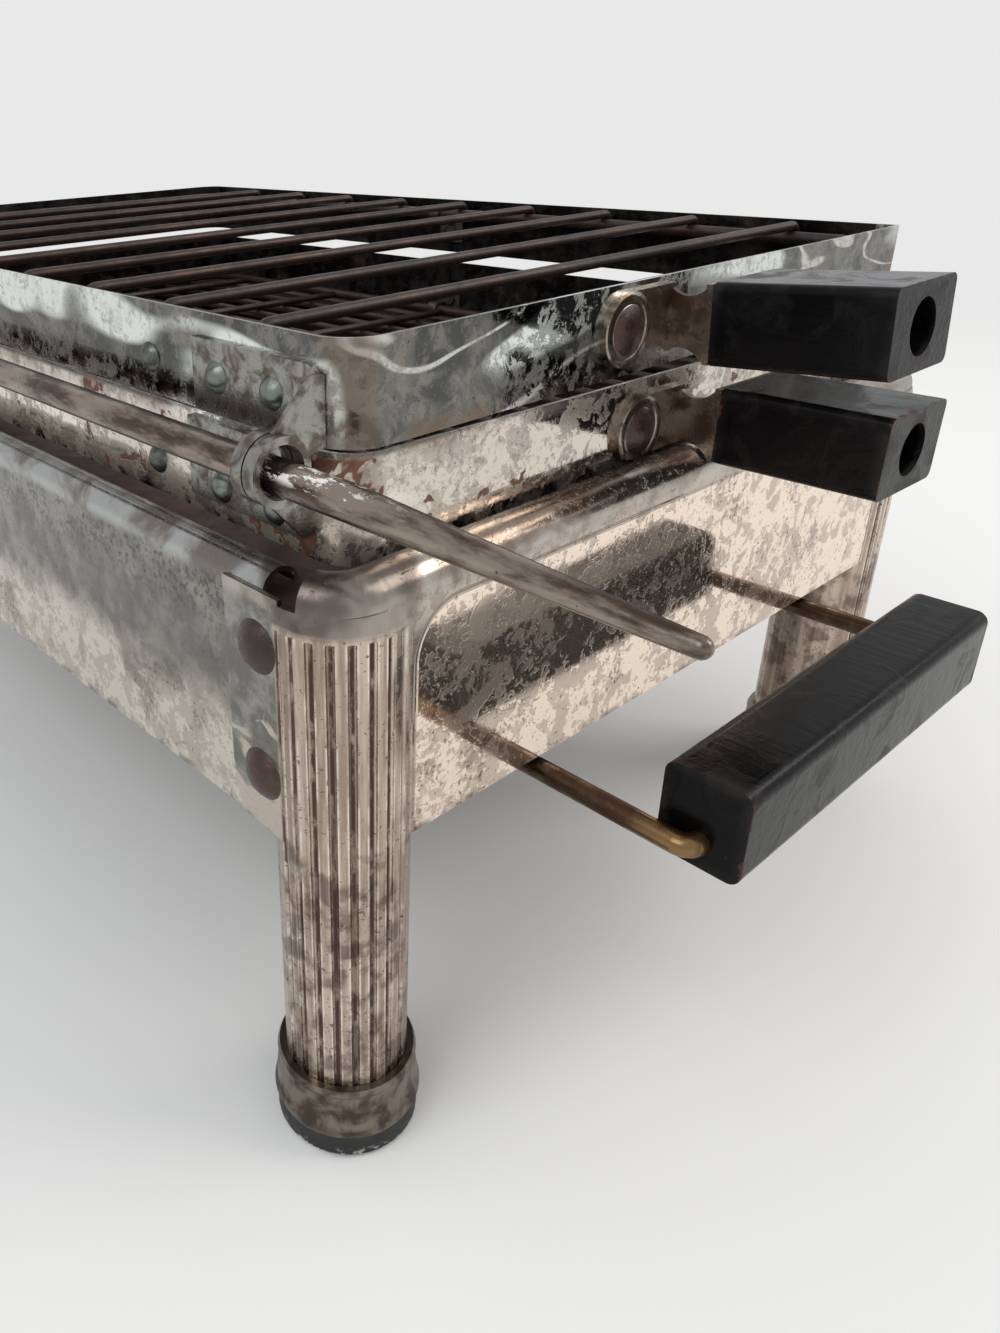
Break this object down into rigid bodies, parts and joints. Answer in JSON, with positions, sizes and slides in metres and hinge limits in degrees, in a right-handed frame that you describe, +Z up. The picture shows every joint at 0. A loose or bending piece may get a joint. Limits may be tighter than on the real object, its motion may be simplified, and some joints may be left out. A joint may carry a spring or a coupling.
{
  "type": "electric flip toaster",
  "caption": "Old chromed electric toaster with fluted legs, a hinged wire basket that flips over, wooden handles and a slide-out drip tray.",
  "frame": {"origin": "middle of the bottom of the overall box, on the floor under the feet", "axes": "+X to the right along the front panel, +Y from the front to the rear, +Z up"},
  "size_m": [0.1942, 0.3474, 0.1441],
  "materials": {
    "panel_chrome": "pitted, worn chrome plating",
    "side_chrome": "mottled, worn chrome plating",
    "frame_chrome": "streaked chrome plating with rust spots",
    "rusty_rivet": "rusty",
    "ferrule_zinc": "dull grey plating",
    "black_rubber": "matt",
    "rusty_sheet": "brown rust",
    "ceramic": "unglazed, stained",
    "heating_wire": "oxidised",
    "brass": "tarnished",
    "bare_steel": "dull, spotted with rust",
    "tray_tinplate": "dull tinplate with burnt spots",
    "heat_tinted_wire": "heat tinted",
    "black_wood": "black lacquer worn at the edges",
    "grid_wire": "dark, rusty",
    "leaf_steel": "worn plating",
    "leaf_rivet": "greenish grey, tarnished",
    "strap_steel": "dark brown, heat stained",
    "rod_steel": "brown grey with chipped plating"
  },
  "bodies": {
    "base": {"front_panel": "panel_chrome", "rear_panel": "panel_chrome", "left_side_panel": "side_chrome", "right_side_panel": "side_chrome", "corner_rivets": "rusty_rivet", "foot_ferrules": "ferrule_zinc", "rubber_feet": "black_rubber", "heat_box": "rusty_sheet", "tray_runner_left": "rusty_sheet", "tray_runner_right": "rusty_sheet", "runner_rivets": "rusty_rivet", "heater_rails": "rusty_sheet", "rail_rivets": "rusty_rivet", "ceramic_bars": "ceramic", "heating_wire": "heating_wire", "terminal_posts": "brass", "contact_straps": "bare_steel", "inlet_body": "ceramic", "inlet_pins": "brass", "inlet_shroud": "ferrule_zinc", "inlet_screws": "bare_steel"},
    "tray": {"tray_pan": "tray_tinplate", "tray_bail": "heat_tinted_wire", "bail_clips": "bare_steel", "tray_handle_bar": "black_wood"},
    "lower_frame": {"lower_frame_wall": "frame_chrome", "lower_grid_rim": "grid_wire", "lower_grid_wires": "grid_wire", "lower_hinge_leaf_front": "leaf_steel", "lower_hinge_leaf_rear": "leaf_steel", "lower_leaf_rivets": "leaf_rivet", "lower_grid_clips": "bare_steel", "lower_clip_rivets": "leaf_rivet", "lower_strap": "strap_steel", "lower_strap_rivet": "rusty_rivet", "lower_handle_block": "black_wood", "lower_handle_screw": "bare_steel", "lower_handle_nut": "bare_steel", "hinge_rod": "rod_steel"},
    "upper_frame": {"upper_frame_wall": "frame_chrome", "upper_grid_rim": "grid_wire", "upper_grid_wires": "grid_wire", "upper_hinge_leaf_front": "leaf_steel", "upper_hinge_leaf_rear": "leaf_steel", "upper_leaf_rivets": "leaf_rivet", "upper_grid_clips": "bare_steel", "upper_clip_rivets": "leaf_rivet", "upper_strap": "strap_steel", "upper_strap_rivet": "rusty_rivet", "upper_handle_block": "black_wood", "upper_handle_screw": "bare_steel", "upper_handle_nut": "bare_steel"}
  },
  "joints": [
    {"name": "basket_flip", "type": "hinge", "parent": "base", "child": "lower_frame", "pos_m": [-0.092, 0.01825, 0.126], "axis": [0, -1, 0], "range_deg": [0, 180]},
    {"name": "upper_frame_open", "type": "hinge", "parent": "lower_frame", "child": "upper_frame", "pos_m": [-0.092, 0.01825, 0.126], "axis": [0, -1, 0], "range_deg": [0, 180]},
    {"name": "tray_slide", "type": "slide", "parent": "base", "child": "tray", "axis": [0, -1, 0], "range_m": [0, 0.18]}
  ]
}
